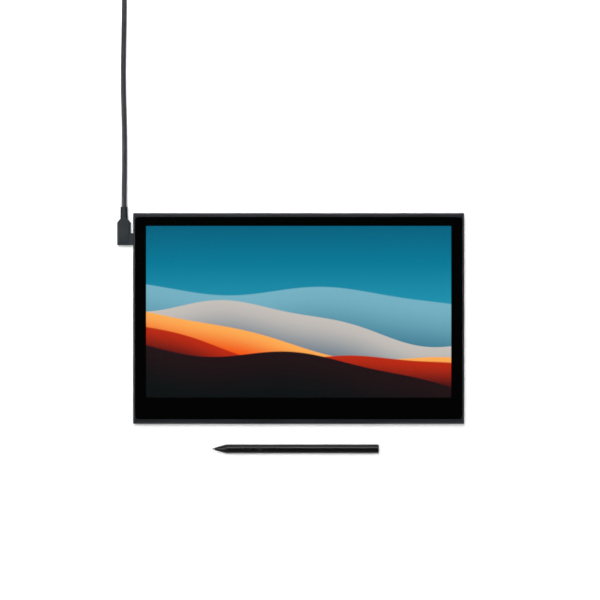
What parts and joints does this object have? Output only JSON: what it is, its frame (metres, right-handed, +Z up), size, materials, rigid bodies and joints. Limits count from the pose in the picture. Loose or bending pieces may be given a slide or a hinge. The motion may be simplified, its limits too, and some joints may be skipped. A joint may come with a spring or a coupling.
{
  "type": "pen display",
  "caption": "Slim pen display with a bonded wide screen, fold-out legs behind, an angled cable in its left edge and a battery-free pen.",
  "frame": {"origin": "on the desk, under the middle of the tablet and the pen together", "axes": "+X to the right along the tablet's long side, +Y away from the user, +Z up out of the screen"},
  "size_m": [0.3527, 0.5517, 0.0139],
  "materials": {
    "frame_coat": "fine satin black",
    "cover_plastic": "fine texture, matt black",
    "glass": "etched, low gloss",
    "black_print": "deep black",
    "clear_bond": "clear",
    "screen_cell": "dark polariser",
    "white_plastic": "matt white",
    "sheet_metal": "rolled",
    "circuit_board": "solder mask",
    "chip_black": "moulded",
    "screw_steel": "black oxide",
    "connector_steel": "plated",
    "black_rubber": "matt",
    "leg_plastic": "fine texture",
    "plug_plastic": "moulded dark grey",
    "cord_jacket": "smooth grey jacket",
    "strap_fabric": "hook and loop",
    "pen_plastic": "soft touch",
    "rocker_plastic": "satin",
    "nib_plastic": "worn",
    "copper": "enamelled wire"
  },
  "bodies": {
    "tablet": {"front_frame": "frame_coat", "rear_cover": "cover_plastic", "cover_glass": "glass", "black_mask": "black_print", "glass_tape": "black_print", "optical_bond": "clear_bond", "lcd_cell": "screen_cell", "optical_films": "clear_bond", "light_guide": "clear_bond", "reflector_sheet": "white_plastic", "led_bar": "white_plastic", "panel_frame": "sheet_metal", "digitizer_board": "circuit_board", "sensor_shield": "sheet_metal", "main_board": "circuit_board", "board_parts": "chip_black", "board_screws": "screw_steel", "usb_socket": "connector_steel", "usb_blade": "chip_black", "driver_board": "circuit_board", "flat_cable": "white_plastic", "case_screws": "screw_steel", "rubber_feet": "black_rubber", "hinge_pins": "screw_steel", "button_board": "circuit_board"},
    "left_leg": {"left_leg": "leg_plastic", "left_leg_tip": "black_rubber"},
    "right_leg": {"right_leg": "leg_plastic", "right_leg_tip": "black_rubber"},
    "power_button": {"power_button": "frame_coat"},
    "cable": {"angled_plug": "plug_plastic", "plug_shell": "connector_steel", "plug_insert": "chip_black", "strain_relief": "plug_plastic", "cable_run": "cord_jacket", "cable_coil": "cord_jacket", "cable_tail": "cord_jacket", "cable_strap": "strap_fabric", "host_relief": "plug_plastic", "host_plug": "plug_plastic", "host_shell": "connector_steel", "host_insert": "chip_black"},
    "pen": {"pen_nose": "pen_plastic", "pen_barrel": "pen_plastic", "pen_end_cap": "pen_plastic", "pen_chassis": "white_plastic", "pen_ferrite": "chip_black", "pen_winding": "copper", "pressure_sensor": "connector_steel", "pen_board": "circuit_board", "pen_switches": "connector_steel"},
    "nib": {"pen_nib": "nib_plastic"},
    "rocker": {"pen_rocker": "rocker_plastic"}
  },
  "joints": [
    {"name": "left_leg_hinge", "type": "hinge", "parent": "tablet", "child": "left_leg", "pos_m": [-0.09509, 0.09735, 0.0031], "axis": [1, 0, 0], "range_deg": [0, 100]},
    {"name": "right_leg_hinge", "type": "hinge", "parent": "tablet", "child": "right_leg", "pos_m": [0.09509, 0.09735, 0.0031], "axis": [1, 0, 0], "range_deg": [0, 100]},
    {"name": "power_button_press", "type": "slide", "parent": "tablet", "child": "power_button", "axis": [-1, 0, 0], "range_m": [0, 0.0005], "stiffness_N_per_m": 3000},
    {"name": "cable_unplug", "type": "slide", "parent": "tablet", "child": "cable", "axis": [-1, 0, 0], "range_m": [0, 0.012]},
    {"name": "pen_lift", "type": "slide", "parent": "tablet", "child": "pen", "axis": [0, 0, 1], "range_m": [0, 0.1]},
    {"name": "nib_press", "type": "slide", "parent": "pen", "child": "nib", "axis": [1, 0, 0], "range_m": [0, 0.00035], "stiffness_N_per_m": 8000},
    {"name": "side_switch_rock", "type": "hinge", "parent": "pen", "child": "rocker", "pos_m": [-0.0392, -0.1169, 0.00645], "axis": [0, 0.9272, -0.3746], "range_deg": [-2.5, 2.5], "stiffness_Nm_per_rad": 0.4}
  ]
}
